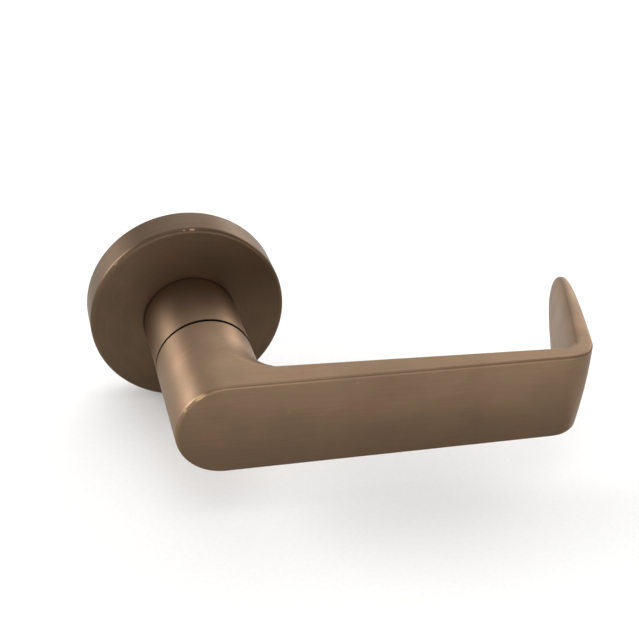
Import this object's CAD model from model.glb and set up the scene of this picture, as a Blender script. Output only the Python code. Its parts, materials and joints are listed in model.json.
"""The looks of the lever trim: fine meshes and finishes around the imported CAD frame.

Sizes are millimetres where a name has no unit, and become metres when a mesh is made.
The door face is y = 0, the spindle turns about the Y axis and the blade runs along +X.
"""
import json
import math

import bmesh
import bpy
from mathutils import Euler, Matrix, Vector
from mathutils.kdtree import KDTree


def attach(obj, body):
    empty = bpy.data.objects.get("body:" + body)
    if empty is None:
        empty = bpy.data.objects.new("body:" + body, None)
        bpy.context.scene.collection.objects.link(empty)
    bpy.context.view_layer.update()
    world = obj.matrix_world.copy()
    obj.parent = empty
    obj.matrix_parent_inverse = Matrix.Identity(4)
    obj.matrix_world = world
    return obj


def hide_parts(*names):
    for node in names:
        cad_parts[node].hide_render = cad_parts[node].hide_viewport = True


MM = 0.001

# Lever, as in the CAD model. A depth is measured from the door face, towards the room.
NECK_RADIUS = 12.68             # also half the height of the blade
PROJECTION = 63.4               # depth of the blade's front face, on the spindle axis
FACE_SLOPE = 0.02               # that face runs a little away from the door along +X
JOINT_DEPTH = 33.3              # middle of the joint line between the collar and the lever
JOINT_GAP = 0.5
BEND_START = 87.6
BEND_RADIUS = 10.4
RETURN_FLARE = 19.5             # degrees that the return leans out from square to the door
RETURN_END_DEPTH = 10.8
LEAF_START = 78.5               # from here to the tip the blade narrows like half an ellipse
LEAF_POWER = 2.6                # fuller than an ellipse, whose power is 2
LEAF_FAN = 9.0                  # the last ribs spread from a point this far from the tip
HUB_THICKNESS = 7.7
BEND_THICKNESS = 4.75
RETURN_THICKNESS = 5.4
TIP_THICKNESS = 3.2
CROWN = 0.4                     # rise of the front face along its middle, from CROWN_START on
CROWN_START = 70.0
FRONT_EDGE_RADIUS = 0.9
BACK_EDGE_RADIUS = 0.4
RETURN_EDGE_DEPTH = 2.4         # the back edge is much rounder once past the bend
RETURN_EDGE_WIDTH = 4.5
FILLET_RADIUS = 15.5            # between the neck and the back of the blade
FILLET_SINK = 0.02              # lets the fillet run into the back instead of just touching it
NECK_OVERSIZE = 0.02            # keeps the neck's wall clear of the hub's wall in the union
NECK_TAPER = ((0.0, 0.5), (0.04, 4.4), (1.0, 4.8))      # (smaller by, further by) past the fillet
NECK_REAR_EDGE = 0.25
SHANK_BORE_RADIUS = 8.3
SHANK_BORE_END = 50.5
SET_SCREW_DEPTH = 42.0
SET_SCREW_HOLE = 3.0

# Rose and collar, as in the CAD model
ROSE_RADIUS = 27.0
ROSE_DEPTH = 10.3
ROSE_EDGE = 1.3
ROSE_REAR_EDGE = 0.25
ROSE_WALL = 1.2
ROSE_CROWN = 1.5                # rise of the domed face, if it ran on to the axis
ROSE_HOLE = 12.74
COLLAR_BORE = 10.6
COLLAR_FLANGE_RADIUS = 20.5
COLLAR_FLANGE = (4.5, 7.0)      # depths of the flange's two faces
COLLAR_ROOT = 0.8               # radius between the flange and the tube
COLLAR_EDGE = 0.2
COUNTERBORE_RADIUS = 11.6
COUNTERBORE_DEPTH = 31.9

# The joint line, as the photo shows it but the CAD model doesn't: wider towards +X
NECK_REAR_SLANT = 0.3           # how much further from the collar the neck's rear is at +X
COLLAR_LEAN = 0.22              # how far the collar's +X side leans out at the joint
NECK_SHADE = 0.14               # how much of the neck's rear edge the joint's dark line covers
COLLAR_SHADE = 0.21             # the same for the collar's front edge

# Where the edges are rubbed through to brass: x, depth, z, reach
LIGHT_WEAR = 0.22               # faint wear all along the edges
ROSE_WEAR_WIDTH = 0.9
LEVER_WEAR = ((-7.0, 63.1, 10.4, 3.0), (-10.5, 63.1, 6.9, 1.2), (30.6, 63.4, 12.7, 0.8),
              (60.0, 64.4, -12.5, 2.0))
ROSE_WEAR = ((0.4, 10.0, 26.7, 1.2), (-1.8, 10.0, 26.6, 1.0), (-19.8, 10.0, 17.8, 0.9))

# Bronze, in linear red, green and blue, and its tone on each piece
BRONZE_DARK = (0.150, 0.098, 0.062)
BRONZE_LIGHT = (0.176, 0.116, 0.071)
BRONZE_CLOUD = (0.178, 0.101, 0.066)
BRONZE_GRAIN = (0.215, 0.148, 0.096)
BRONZE_FLECK = (0.27, 0.19, 0.115)
BRONZE_WORN = (0.44, 0.29, 0.15)
JOINT_BLACK = (0.012, 0.009, 0.007)
LEVER_TONE = 1.2
ROSE_TONE = 0.62
COLLAR_TONE = 1.2
STRAIGHT_BRUSHING = (52.0, 56.0)        # depths over which round brushing turns straight
BRUSH_FINENESS = 2200.0                 # across the brushing, per metre

# Camera: the fitted viewpoint, in metres and degrees
CAMERA_PLACE = (-0.0468, -0.2637, 0.1573)
CAMERA_TURN = (58.68, -4.36, -15.89)
CAMERA_LENS = 60.66

# Soft lamps of the studio: degrees round from +X, degrees up, tightness, strength.
# Their strengths were solved so that each face is as light as in the photo.
SKY_LAMPS = ((157, 22, 40, 11.4), (135, 12, 40, 6.2), (105, 28, 40, 1.0), (90, 12, 40, 0.7),
             (78, 25, 40, 1.8), (54, 10, 40, 3.0), (45, 20, 40, 2.3), (22, 22, 40, 5.2),
             (200, 20, 40, 1.2), (90, 40, 8, 0.6), (45, 40, 8, 0.4), (180, 8, 8, 0.6),
             (225, 8, 8, 1.1), (225, 40, 8, 0.35), (270, 8, 8, 2.0), (315, 8, 8, 1.3),
             (0, 89, 8, 1.8))
ROOM_LIGHT = 0.05
FLOOR_SIZE = 6.0                # metres
FLOOR_DROP = 0.3                # room between the rose and the floor
PAPER_ROUGHNESS = 0.9

# Dark card that darkens the lower half of the blade's front: middle, size, tone
CARD_MIDDLE = (50.0, -82.0, -26.8)
CARD_SIZE = (150.0, 40.0)
CARD_TONE = 0.46


# ---------------------------------------------------------------- mesh helpers

def at(x, depth, z):
    """A point given by its depth from the door face, which runs along -Y."""
    return Vector((x, -depth, z))


def around(radius, depth, degrees):
    """A point given by radius and angle about the spindle axis."""
    angle = math.radians(degrees)
    return at(radius * math.cos(angle), depth, radius * math.sin(angle))


def loft(loops, closed=False):
    """Skin a list of equal loops; the ends are capped unless the loops close on themselves."""
    made = bmesh.new()
    rows = [[made.verts.new(point) for point in loop] for loop in loops]
    pairs = list(zip(rows, rows[1:]))
    if closed:
        pairs.append((rows[-1], rows[0]))
    else:
        made.faces.new(rows[0])
        made.faces.new(rows[-1])
    for first, second in pairs:
        for index in range(len(first)):
            after = (index + 1) % len(first)
            made.faces.new((first[index], first[after], second[after], second[index]))
    return made


def add_object(name, mesh_data):
    """Turn a bmesh in millimetres into an object in metres."""
    bmesh.ops.remove_doubles(mesh_data, verts=mesh_data.verts, dist=0.0005)
    bmesh.ops.recalc_face_normals(mesh_data, faces=mesh_data.faces)
    bmesh.ops.scale(mesh_data, vec=(MM, MM, MM), verts=mesh_data.verts)
    mesh = bpy.data.meshes.new(name)
    mesh_data.to_mesh(mesh)
    mesh_data.free()
    made = bpy.data.objects.new(name, mesh)
    bpy.context.scene.collection.objects.link(made)
    return made


def boolean(target, tool, operation="DIFFERENCE"):
    """Cut or join with the exact solver, and remove the tool."""
    step = target.modifiers.new("boolean", "BOOLEAN")
    step.operation = operation
    step.object = tool
    step.solver = "EXACT"
    bake_modifiers(target)
    bpy.data.objects.remove(tool, do_unlink=True)


def bake_modifiers(target):
    """Replace an object's mesh by its evaluated mesh, and drop its modifiers."""
    bpy.context.view_layer.update()
    evaluated = target.evaluated_get(bpy.context.evaluated_depsgraph_get())
    mesh = bpy.data.meshes.new_from_object(evaluated)
    target.modifiers.clear()
    target.data = mesh


def smooth(target, degrees=40):
    """Smooth shading that keeps flat faces flat and real corners sharp."""
    target.data.shade_smooth()
    target.data.set_sharp_from_angle(angle=math.radians(degrees))
    weighted = target.modifiers.new("face_normals", "WEIGHTED_NORMAL")
    weighted.keep_sharp = True
    weighted.weight = 80


def turned(name, profile, steps=160):
    """A ring turned about the spindle axis from a closed (radius, depth) outline."""
    loops = [[around(radius, depth, 360 * k / steps) for radius, depth in profile]
             for k in range(steps)]
    return add_object(name, loft(loops, closed=True))


def rod(name, radius, depths, steps=96):
    """A round bar on the spindle axis, between two depths."""
    loops = [[around(radius, depth, 360 * k / steps) for k in range(steps)] for depth in depths]
    return add_object(name, loft(loops))


def corner(centre, radius, first, last, steps=6):
    """Points of a quarter round on a (radius, depth) outline; 0 degrees points outwards."""
    turns = [math.radians(first + (last - first) * k / steps) for k in range(steps + 1)]
    return [(centre[0] + radius * math.cos(a), centre[1] + radius * math.sin(a)) for a in turns]


def paint(target, name, rule):
    """Store rule(position in millimetres) on every vertex as a number from 0 to 1."""
    layer = target.data.attributes.new(name, "FLOAT", "POINT")
    layer.data.foreach_set("value", [rule(vertex.co / MM) for vertex in target.data.vertices])


# ---------------------------------------------------------------- lever

def blade_heading(s):
    """Angle of the blade's front face at path length s, in radians from +X towards +Y."""
    first = -math.atan(FACE_SLOPE)
    last = math.radians(90 - RETURN_FLARE)
    return min(max(first + (s - BEND_START) / BEND_RADIUS, first), last)


def bend_end():
    """Path length at which the bend ends and the return begins."""
    turn = math.radians(90 - RETURN_FLARE) + math.atan(FACE_SLOPE)
    return BEND_START + BEND_RADIUS * turn


def front_point(s):
    """Point (x, y) on the front face at path length s from the spindle axis."""
    first = blade_heading(0)
    straight = min(s, BEND_START)
    x, y = straight * math.cos(first), -PROJECTION + straight * math.sin(first)
    heading = blade_heading(s)
    if s > BEND_START:
        x += BEND_RADIUS * (math.sin(heading) - math.sin(first))
        y += BEND_RADIUS * (math.cos(first) - math.cos(heading))
    if s > bend_end():
        rest = s - bend_end()
        x += rest * math.cos(heading)
        y += rest * math.sin(heading)
    return x, y


def path_end():
    """Path length at the return's tip."""
    end = bend_end()
    return end + (-RETURN_END_DEPTH - front_point(end)[1]) / math.sin(blade_heading(end + 1))


def thickness(s):
    if s <= BEND_START:
        return HUB_THICKNESS + (BEND_THICKNESS - HUB_THICKNESS) * max(s, 0) / BEND_START
    if s <= bend_end():
        along = (s - BEND_START) / (bend_end() - BEND_START)
        return BEND_THICKNESS + (RETURN_THICKNESS - BEND_THICKNESS) * along
    along = (s - bend_end()) / (path_end() - bend_end())
    return RETURN_THICKNESS + (TIP_THICKNESS - RETURN_THICKNESS) * min(along, 1)


def crown(s):
    """Rise of the front face's middle above its edges."""
    return CROWN * min(max(s / CROWN_START, 0), 1)


def back_edge(s):
    """Depth and width of the rounding along the back edge, which grows round the bend."""
    along = min(max((s - BEND_START) / (bend_end() - BEND_START), 0), 1)
    deep = BACK_EDGE_RADIUS + (RETURN_EDGE_DEPTH - BACK_EDGE_RADIUS) * along
    wide = BACK_EDGE_RADIUS + (RETURN_EDGE_WIDTH - BACK_EDGE_RADIUS) * along
    return min(deep, thickness(s) * 0.6), wide


def on_blade(s, z, inward):
    """A point given along the path, up, and in from the front face."""
    x, y = front_point(s)
    heading = blade_heading(s)
    return Vector((x - inward * math.sin(heading), y + inward * math.cos(heading), z))


def leaf_height(s):
    """Half the blade's height at path length s, from LEAF_START on."""
    along = max(s - LEAF_START, 0) / (path_end() - LEAF_START)
    return NECK_RADIUS * max(1 - along ** LEAF_POWER, 0) ** (1 / LEAF_POWER)


def leaf_normal(s, z):
    """Outward direction (along the path, up) of the outline there."""
    length = path_end() - LEAF_START
    along = (max(s - LEAF_START, 0) / length) ** (LEAF_POWER - 1) / length
    up = (z / NECK_RADIUS) ** (LEAF_POWER - 1) / NECK_RADIUS
    return Vector((along, up)).normalized()


def blade_outline(hub_steps, bend_steps, leaf_steps):
    """Half of the flat outline, hub to tip: ((s, z), outward normal, spine position)."""
    points = []
    for k in range(hub_steps + 1):
        angle = math.radians(180 - 90 * k / hub_steps)
        normal = (math.cos(angle), math.sin(angle))
        points.append(((NECK_RADIUS * normal[0], NECK_RADIUS * normal[1]), normal, 0.0))
    end = path_end()
    stations = [5.0 * k for k in range(1, 15)] + [LEAF_START + 3 * k for k in range(4)]
    stations += [BEND_START + (bend_end() - BEND_START) * k / bend_steps
                 for k in range(bend_steps + 1)]
    along = (bend_end() - LEAF_START) / (end - LEAF_START)
    first = math.acos(along ** (LEAF_POWER / 2))
    for k in range(1, leaf_steps + 1):
        angle = first * (1 - k / leaf_steps)
        stations.append(LEAF_START + (end - LEAF_START) * math.cos(angle) ** (2 / LEAF_POWER))
    for s in stations:
        z = leaf_height(s)
        points.append(((s, z), leaf_normal(s, z), min(s, end - LEAF_FAN)))
    return points


def blade_rib(point, normal, spine, edge_steps, face_steps):
    """(position, edge closeness) from the front face's spine, round the edge, to the back's."""
    deep = thickness(point[0])
    front = min(FRONT_EDGE_RADIUS, deep * 0.45)
    back, wide = back_edge(point[0])
    rim = (point[0] - normal[0] * front, point[1] - normal[1] * front)
    rib = []
    for k in range(face_steps):
        part = k / face_steps
        s = spine + (rim[0] - spine) * part
        rib.append((on_blade(s, rim[1] * part, -crown(s) * (1 - part ** 2)), 0.0))
    front_edge = (front, front, front, 90)
    rear_edge = (back, wide, deep - back, 0)
    for radius, reach, centre, first in (front_edge, rear_edge):
        for k in range(edge_steps + 1):
            angle = math.radians(first - 90 * k / edge_steps)
            out = reach * (math.cos(angle) - 1)
            place = (point[0] + normal[0] * out, point[1] + normal[1] * out)
            near_edge = math.sin(math.pi * k / edge_steps)
            rib.append((on_blade(*place, centre - radius * math.sin(angle)), near_edge))
    rim = (point[0] - normal[0] * wide, point[1] - normal[1] * wide)
    for k in range(face_steps - 1, -1, -1):
        part = k / face_steps
        s = spine + (rim[0] - spine) * part
        rib.append((on_blade(s, rim[1] * part, thickness(s)), 0.0))
    return rib


def blade_ribs():
    """Ribs all round the outline, each from the front face's spine to the back's."""
    upper = blade_outline(hub_steps=36, bend_steps=18, leaf_steps=40)
    lower = [((s, -z), (ns, -nz), spine) for (s, z), (ns, nz), spine in reversed(upper)]
    return [blade_rib(*entry, edge_steps=6, face_steps=8) for entry in upper + lower[1:-1]]


def blade_bar(ribs):
    """The hub disc, the blade and the bent return, as one closed skin of ribs."""
    made = bmesh.new()
    rows = [[made.verts.new(point) for point, _ in rib] for rib in ribs]
    for index, first in enumerate(rows):
        second = rows[(index + 1) % len(rows)]
        for k in range(len(first) - 1):
            made.faces.new((first[k], first[k + 1], second[k + 1], second[k]))
    return made


def neck_section(depth, radius, slide, steps):
    """A round section whose +X half is slid along +X, with flats between the halves."""
    loop = []
    for shift, first in ((slide, -90), (0.0, 90)):
        for k in range(steps // 2 + 1):
            angle = math.radians(first + 360 * k / steps)
            loop.append(at(shift + radius * math.cos(angle), depth, radius * math.sin(angle)))
    return loop


def rear_slant(point):
    """How much further from the collar the neck's rear is here than at its -X side."""
    return NECK_REAR_SLANT * (1 + point.x / NECK_RADIUS) / 2


def neck(steps, fillet_steps):
    """The round neck, with the fillet that runs out along the back of the blade."""
    radius = NECK_RADIUS + NECK_OVERSIZE
    rear = JOINT_DEPTH + JOINT_GAP / 2
    slope = FACE_SLOPE + (HUB_THICKNESS - BEND_THICKNESS) / BEND_START
    back = PROJECTION - HUB_THICKNESS + slope * (radius + FILLET_RADIUS) + FILLET_SINK
    rounding = corner((radius - NECK_REAR_EDGE, rear + NECK_REAR_EDGE), NECK_REAR_EDGE, -90, 0, 3)
    loops = [neck_section(depth, reach, 0.0, steps) for reach, depth in rounding]
    for loop in loops:
        for point in loop:
            point.y -= rear_slant(point)
    for k in range(fillet_steps + 1):
        turn = (math.pi / 2 - math.atan(slope)) * k / fillet_steps
        depth = back - FILLET_RADIUS * (1 - math.sin(turn))
        slide = FILLET_RADIUS * (1 - math.cos(turn))
        loops.append(neck_section(depth, radius, slide, steps))
    for inset, further in NECK_TAPER:
        loops.append(neck_section(back + further, radius - inset, slide, steps))
    return add_object("neck_tool", loft(loops))


def near_spots(point, spots):
    """How close a point is to the nearest of the (x, depth, z, reach) places."""
    return max(max(0.0, 1 - (point - at(x, depth, z)).length / reach)
               for x, depth, z, reach in spots)


def lever_wear(ribs):
    """A rule that gives each point its closeness to a worn stretch of the blade's edge."""
    tree = KDTree(sum(len(rib) for rib in ribs))
    closeness = []
    for rib in ribs:
        for point, near_edge in rib:
            tree.insert(point, len(closeness))
            closeness.append(near_edge)
    tree.balance()

    def rule(point):
        _, index, distance = tree.find(point)
        if distance > 0.01 or closeness[index] == 0:
            return 0.0
        return closeness[index] * (LIGHT_WEAR + near_spots(point, LEVER_WEAR))

    return rule


def screw_hole(steps):
    """The tool for the set screw's hole, which comes up through the neck's underside."""
    loops = []
    for height in (-NECK_RADIUS - 1, -SHANK_BORE_RADIUS + 1):
        turns = [2 * math.pi * k / steps for k in range(steps)]
        loops.append([at(SET_SCREW_HOLE * math.cos(turn),
                         SET_SCREW_DEPTH + SET_SCREW_HOLE * math.sin(turn), height)
                      for turn in turns])
    return add_object("screw_hole_tool", loft(loops))


def make_lever():
    ribs = blade_ribs()
    lever = add_object("lever_skin", blade_bar(ribs))
    boolean(lever, neck(steps=144, fillet_steps=24), "UNION")
    boolean(lever, rod("bore_tool", SHANK_BORE_RADIUS, (JOINT_DEPTH - 1, SHANK_BORE_END)))
    boolean(lever, screw_hole(steps=48))
    paint(lever, "edge", lever_wear(ribs))

    def in_joint(point):
        shaded = JOINT_DEPTH + JOINT_GAP / 2 + rear_slant(point) + NECK_SHADE
        return float(-point.y < shaded and point.x < NECK_RADIUS + 1)

    paint(lever, "gap", in_joint)
    smooth(lever)
    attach(lever, "lever")
    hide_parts("lever_handle")
    return lever


# ---------------------------------------------------------------- rose and collar

def make_rose():
    outer, front, edge, wall = ROSE_RADIUS, ROSE_DEPTH, ROSE_EDGE, ROSE_WALL
    hole, flat = ROSE_HOLE, ROSE_RADIUS - ROSE_EDGE

    def dome(radius):
        return front + ROSE_CROWN * (1 - (radius / flat) ** 2)

    face = [hole + 0.2 + (flat - hole - 0.2) * k / 12 for k in range(12)]
    profile = [(outer - wall, 0.0)]
    profile += corner((outer - ROSE_REAR_EDGE, ROSE_REAR_EDGE), ROSE_REAR_EDGE, -90, 0, 3)
    profile += corner((outer - edge, front - edge), edge, 0, 90, 10)
    profile += [(radius, dome(radius)) for radius in reversed(face)]
    profile += [(hole + 0.05, dome(hole) - 0.06), (hole, dome(hole) - 0.2)]
    profile += [(radius, dome(radius) - wall) for radius in face[::3]]
    profile += corner((outer - wall - 0.8, front - wall - 0.8), 0.8, 90, 0, 4)
    rose = turned("rose_skin", profile, steps=192)
    middle = (outer - edge * 0.3, front - edge * 0.3)

    def wear(point):
        radius = math.hypot(point.x, point.z)
        away = math.hypot(radius - middle[0], -point.y - middle[1])
        on_edge = max(0.0, 1 - away / ROSE_WEAR_WIDTH)
        return on_edge * (LIGHT_WEAR + near_spots(point, ROSE_WEAR)) if on_edge else 0.0

    paint(rose, "edge", wear)
    smooth(rose)
    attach(rose, "trim")
    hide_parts("rose_cover")
    return rose


def make_collar():
    rear, face = COLLAR_FLANGE
    front = JOINT_DEPTH - JOINT_GAP / 2
    radius = NECK_RADIUS
    profile = [(COLLAR_BORE, rear), (COLLAR_FLANGE_RADIUS - 0.3, rear)]
    profile += [(COLLAR_FLANGE_RADIUS, rear + 0.3), (COLLAR_FLANGE_RADIUS, face - 0.3)]
    profile += [(COLLAR_FLANGE_RADIUS - 0.3, face)]
    profile += corner((radius + COLLAR_ROOT, face + COLLAR_ROOT), COLLAR_ROOT, -90, -180, 4)
    profile += [(radius, depth) for depth in (12.0, 18.0, 24.0, 30.0, front - 1.2, front - 0.22)]
    profile += corner((radius - COLLAR_EDGE, front - COLLAR_EDGE), COLLAR_EDGE, 0, 90, 4)
    profile += [(COUNTERBORE_RADIUS, front), (COUNTERBORE_RADIUS, COUNTERBORE_DEPTH)]
    profile += [(COLLAR_BORE, COUNTERBORE_DEPTH)]
    collar = turned("collar_skin", profile, steps=160)
    paint(collar, "gap", lambda point: float(-point.y > front - COLLAR_SHADE))
    for vertex in collar.data.vertices:
        point = vertex.co / MM
        along = max(0.0, -point.y - face) / (front - face)
        vertex.co.x += COLLAR_LEAN * MM * along * (1 + point.x / radius) / 2
    smooth(collar)
    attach(collar, "trim")
    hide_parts("collar_sleeve")
    return collar


# ---------------------------------------------------------------- materials

class Graph:
    """Short names for building a material's nodes."""

    def __init__(self, name):
        self.material = bpy.data.materials.new(name)
        self.material.use_nodes = True
        self.tree = self.material.node_tree
        self.shader = self.tree.nodes["Principled BSDF"]
        self.place = self.node("ShaderNodeTexCoord").outputs["Object"]

    def node(self, kind, **settings):
        made = self.tree.nodes.new(kind)
        for key, value in settings.items():
            setattr(made, key, value)
        return made

    def feed(self, socket, value):
        if isinstance(value, bpy.types.NodeSocket):
            self.tree.links.new(value, socket)
        else:
            socket.default_value = value

    def math(self, operation, first, second=0.0, third=0.0):
        made = self.node("ShaderNodeMath", operation=operation)
        for socket, value in zip(made.inputs, (first, second, third)):
            self.feed(socket, value)
        return made.outputs[0]

    def vector(self, x, y, z):
        made = self.node("ShaderNodeCombineXYZ")
        for socket, value in zip(made.inputs, (x, y, z)):
            self.feed(socket, value)
        return made.outputs[0]

    def noise(self, place, scale, detail=3.0, roughness=0.5):
        made = self.node("ShaderNodeTexNoise")
        self.feed(made.inputs["Vector"], place)
        made.inputs["Scale"].default_value = scale
        made.inputs["Detail"].default_value = detail
        made.inputs["Roughness"].default_value = roughness
        return made.outputs["Fac"]

    def step(self, value, low, high, first=0.0, last=1.0):
        made = self.node("ShaderNodeMapRange", interpolation_type="SMOOTHSTEP")
        for key, number in (("Value", value), ("From Min", low), ("From Max", high),
                            ("To Min", first), ("To Max", last)):
            self.feed(made.inputs[key], number)
        return made.outputs[0]

    def mix(self, factor, first, second):
        made = self.node("ShaderNodeMix", data_type="RGBA")
        self.feed(made.inputs[0], factor)
        self.feed(made.inputs[6], (*first, 1.0) if isinstance(first, tuple) else first)
        self.feed(made.inputs[7], (*second, 1.0) if isinstance(second, tuple) else second)
        return made.outputs[2]

    def painted(self, name):
        """What paint() stored on the vertices under that name."""
        return self.node("ShaderNodeAttribute", attribute_name=name).outputs["Fac"]

    def surface(self, colour, roughness):
        self.feed(self.shader.inputs["Base Color"], colour)
        self.feed(self.shader.inputs["Roughness"], roughness)

    def bump(self, height, strength, distance):
        made = self.node("ShaderNodeBump")
        made.inputs["Strength"].default_value = strength
        made.inputs["Distance"].default_value = distance
        self.feed(made.inputs["Height"], height)
        self.feed(self.shader.inputs["Normal"], made.outputs["Normal"])

    def finish(self, metallic, coat=0.0, coat_roughness=0.3):
        self.shader.inputs["Metallic"].default_value = metallic
        self.shader.inputs["Coat Weight"].default_value = coat
        self.shader.inputs["Coat Roughness"].default_value = coat_roughness
        return self.material


def axes(graph):
    """The place's x, y and z, and its radius about the spindle axis, as sockets."""
    split = graph.node("ShaderNodeSeparateXYZ")
    graph.feed(split.inputs[0], graph.place)
    x, y, z = split.outputs
    squares = graph.math("ADD", graph.math("MULTIPLY", x, x), graph.math("MULTIPLY", z, z))
    return x, y, z, graph.math("SQRT", squares)


def brushing(graph, factors, sockets):
    """Noise drawn out along one direction, whose factor is much smaller than the others."""
    scaled = [graph.math("MULTIPLY", socket, factor) for socket, factor in zip(sockets, factors)]
    return graph.noise(graph.vector(*scaled), 1.0, 3.0, 0.6)


def bronze(name, tone, straight=False):
    """Oil-rubbed bronze: brushed round the axis, and if asked for along X on the blade."""
    graph = Graph(name)
    x, y, z, radius = axes(graph)
    angle = graph.math("ARCTAN2", z, x)
    grain = brushing(graph, (1.2, BRUSH_FINENESS, BRUSH_FINENESS), (angle, radius, y))
    if straight:
        lines = brushing(graph, (60.0, BRUSH_FINENESS, BRUSH_FINENESS), (x, y, z))
        mixed = graph.node("ShaderNodeMix", data_type="FLOAT")
        low, high = STRAIGHT_BRUSHING
        graph.feed(mixed.inputs[0], graph.step(y, -low * MM, -high * MM))
        graph.feed(mixed.inputs[2], grain)
        graph.feed(mixed.inputs[3], lines)
        grain = mixed.outputs[0]
    blotch = graph.noise(graph.place, 45.0, 3.0, 0.55)
    cloud = graph.noise(graph.place, 95.0, 3.0, 0.55)
    fleck = graph.noise(graph.place, 900.0, 2.0, 0.6)

    def toned(colour):
        return tuple(channel * tone for channel in colour)

    colour = graph.mix(graph.step(blotch, 0.36, 0.64), toned(BRONZE_DARK), toned(BRONZE_LIGHT))
    for texture, low, high, most, tint in ((cloud, 0.48, 0.72, 0.6, BRONZE_CLOUD),
                                           (grain, 0.35, 0.75, 0.2, BRONZE_GRAIN),
                                           (fleck, 0.70, 0.80, 0.5, BRONZE_FLECK)):
        colour = graph.mix(graph.step(texture, low, high, 0.0, most), colour, toned(tint))
    rub = graph.noise(graph.place, 380.0, 4.0, 0.65)
    worn = graph.step(graph.math("MULTIPLY", graph.painted("edge"), rub), 0.24, 0.42)
    colour = graph.mix(worn, colour, BRONZE_WORN)
    colour = graph.mix(graph.painted("gap"), colour, JOINT_BLACK)
    rough = graph.math("ADD", graph.step(grain, 0.25, 0.75, 0.42, 0.36),
                       graph.step(blotch, 0.3, 0.7, 0.03, -0.03))
    graph.surface(colour, rough)
    graph.shader.inputs["Specular Tint"].default_value = (0.80, 0.75, 0.70, 1.0)
    graph.bump(grain, 0.12, 0.00003)
    return graph.finish(1.0, coat=0.05, coat_roughness=0.3)


def steel(name, colour, roughness=0.34):
    """Plated or oxidised steel with a faint mottle and fine turning marks."""
    graph = Graph(name)
    _, y, _, radius = axes(graph)
    marks = graph.noise(graph.vector(0.0, graph.math("MULTIPLY", y, 3200.0),
                                     graph.math("MULTIPLY", radius, 600.0)), 1.0, 2.0)
    mottle = graph.noise(graph.place, 260.0, 4.0, 0.6)
    dark = tuple(channel * 0.72 for channel in colour)
    graph.surface(graph.mix(graph.step(mottle, 0.3, 0.7), dark, colour),
                  graph.step(marks, 0.3, 0.7, roughness, roughness + 0.12))
    graph.bump(marks, 0.2, 0.00002)
    return graph.finish(1.0)


def casting(name, colour):
    """As-cast zinc: matt, slightly grainy, with brighter rubbed patches."""
    graph = Graph(name)
    grit = graph.noise(graph.place, 1900.0, 3.0, 0.7)
    patch = graph.noise(graph.place, 120.0, 4.0, 0.6)
    dark = tuple(channel * 0.7 for channel in colour)
    graph.surface(graph.mix(graph.step(patch, 0.35, 0.65), dark, colour),
                  graph.step(grit, 0.3, 0.7, 0.42, 0.6))
    graph.bump(grit, 0.35, 0.00006)
    return graph.finish(1.0)


def moulded(name, colour):
    """Moulded plastic with a fine grain."""
    graph = Graph(name)
    grit = graph.noise(graph.place, 2400.0, 2.0)
    light = tuple(channel * 1.5 for channel in colour)
    graph.surface(graph.mix(graph.step(grit, 0.3, 0.7), colour, light),
                  graph.step(grit, 0.3, 0.7, 0.45, 0.6))
    graph.bump(grit, 0.2, 0.00003)
    return graph.finish(0.0)


def dress(target, material):
    target.data.materials.clear()
    target.data.materials.append(material)


def dress_frame(frame):
    """Give each CAD node that isn't replaced its finish, by its material slot."""
    finishes = {
        "plated_steel": steel("plated_steel_finish", (0.58, 0.57, 0.53)),
        "black_steel": steel("black_oxide_finish", (0.09, 0.09, 0.09), 0.42),
        "spring_steel": steel("spring_steel_finish", (0.34, 0.34, 0.36), 0.3),
        "zinc_casting": casting("zinc_finish", (0.48, 0.48, 0.49)),
        "sintered_bronze": casting("sintered_finish", (0.46, 0.29, 0.14)),
        "black_nylon": moulded("nylon_finish", (0.02, 0.02, 0.02)),
    }
    for part in frame["record"]["subparts"]:
        if part["material_slot"] in finishes:
            for slot in frame["nodes"][part["node"]].material_slots:
                slot.material = finishes[part["material_slot"]]


# ---------------------------------------------------------------- studio

def make_camera():
    camera = bpy.data.cameras.new("main_camera")
    camera.lens = CAMERA_LENS
    camera.sensor_width = 36.0
    holder = bpy.data.objects.new("main_camera", camera)
    holder.location = CAMERA_PLACE
    holder.rotation_euler = Euler([math.radians(turn) for turn in CAMERA_TURN], "XYZ")
    bpy.context.scene.collection.objects.link(holder)
    bpy.context.scene.camera = holder


def make_floor(height):
    """A level floor just below the rose."""
    bpy.ops.mesh.primitive_plane_add(size=FLOOR_SIZE, location=(0, 0, height))
    floor = bpy.context.object
    floor.name = "floor"
    graph = Graph("floor_paper")
    fibre = graph.noise(graph.place, 900.0, 2.0)
    tone = graph.mix(graph.step(fibre, 0.3, 0.7), (0.90, 0.90, 0.89), (0.92, 0.92, 0.91))
    graph.surface(tone, PAPER_ROUGHNESS)
    dress(floor, graph.finish(0.0))


def make_card():
    """A dark card under the blade that only its reflections see."""
    bpy.ops.mesh.primitive_plane_add(size=1.0)
    card = bpy.context.object
    card.name = "dark_card"
    card.location = Vector(CARD_MIDDLE) * MM
    card.scale = (CARD_SIZE[0] * MM, CARD_SIZE[1] * MM, 1.0)
    graph = Graph("card_paper")
    graph.surface((CARD_TONE, CARD_TONE, CARD_TONE, 1.0), PAPER_ROUGHNESS)
    dress(card, graph.finish(0.0))
    card.visible_camera = False
    card.visible_diffuse = False
    card.visible_shadow = False


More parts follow.
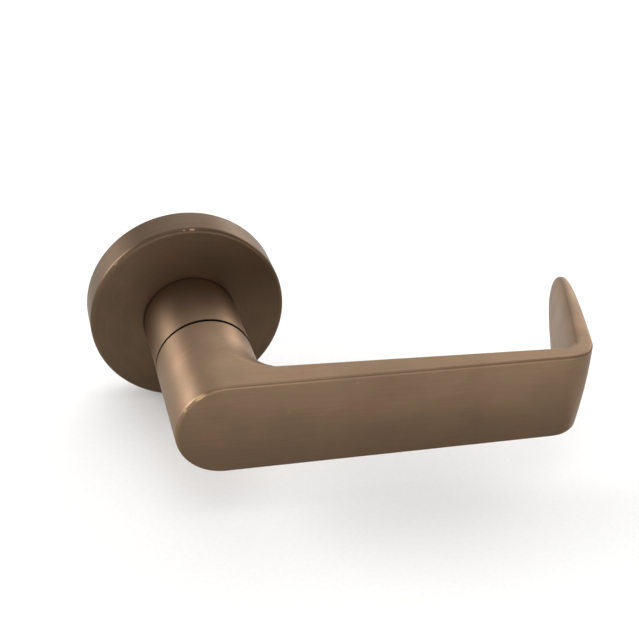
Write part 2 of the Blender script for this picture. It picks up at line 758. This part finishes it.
def make_sky():
    """White to the camera; soft lamps in a dim room to everything that it lights."""
    world = bpy.data.worlds.new("studio")
    bpy.context.scene.world = world
    world.use_nodes = True
    tree = world.node_tree

    def node(kind, first, second, **settings):
        made = tree.nodes.new(kind)
        for key, value in settings.items():
            setattr(made, key, value)
        for socket, value in zip(made.inputs, (first, second)):
            if isinstance(value, bpy.types.NodeSocket):
                tree.links.new(value, socket)
            else:
                socket.default_value = value
        return made.outputs

    look = tree.nodes.new("ShaderNodeTexCoord").outputs["Generated"]
    total = 0.0
    for turn, rise, power, strength in SKY_LAMPS:
        turn, rise = math.radians(turn), math.radians(rise)
        aim = (math.cos(turn) * math.cos(rise), math.sin(turn) * math.cos(rise), math.sin(rise))
        facing = node("ShaderNodeVectorMath", look, aim, operation="DOT_PRODUCT")["Value"]
        facing = node("ShaderNodeMath", facing, 0.0, operation="MAXIMUM")[0]
        lobe = node("ShaderNodeMath", facing, float(power), operation="POWER")[0]
        lobe = node("ShaderNodeMath", lobe, strength, operation="MULTIPLY")[0]
        total = node("ShaderNodeMath", lobe, total, operation="ADD")[0]
    total = node("ShaderNodeMath", total, ROOM_LIGHT, operation="ADD")[0]
    seen = tree.nodes.new("ShaderNodeLightPath").outputs["Is Camera Ray"]
    total = node("ShaderNodeMath", total, seen, operation="MAXIMUM")[0]
    tree.links.new(total, tree.nodes["Background"].inputs["Strength"])
    tree.nodes["Background"].inputs["Color"].default_value = (1.0, 1.0, 1.0, 1.0)


def make_studio():
    bpy.context.scene.view_settings.view_transform = "Standard"
    make_sky()
    make_floor(-(ROSE_RADIUS + FLOOR_DROP) * MM)
    make_card()


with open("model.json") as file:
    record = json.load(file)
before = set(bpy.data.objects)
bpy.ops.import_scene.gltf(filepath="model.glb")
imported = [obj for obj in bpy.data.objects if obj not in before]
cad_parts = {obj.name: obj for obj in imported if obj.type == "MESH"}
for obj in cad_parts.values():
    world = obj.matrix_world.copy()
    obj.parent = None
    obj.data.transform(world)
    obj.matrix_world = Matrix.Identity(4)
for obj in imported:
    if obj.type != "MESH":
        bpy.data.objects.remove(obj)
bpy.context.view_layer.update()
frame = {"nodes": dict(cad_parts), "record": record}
make_camera()
dress(make_lever(), bronze("lever_bronze", LEVER_TONE, straight=True))
dress(make_rose(), bronze("rose_bronze", ROSE_TONE))
dress(make_collar(), bronze("collar_bronze", COLLAR_TONE))
dress_frame(frame)
make_studio()
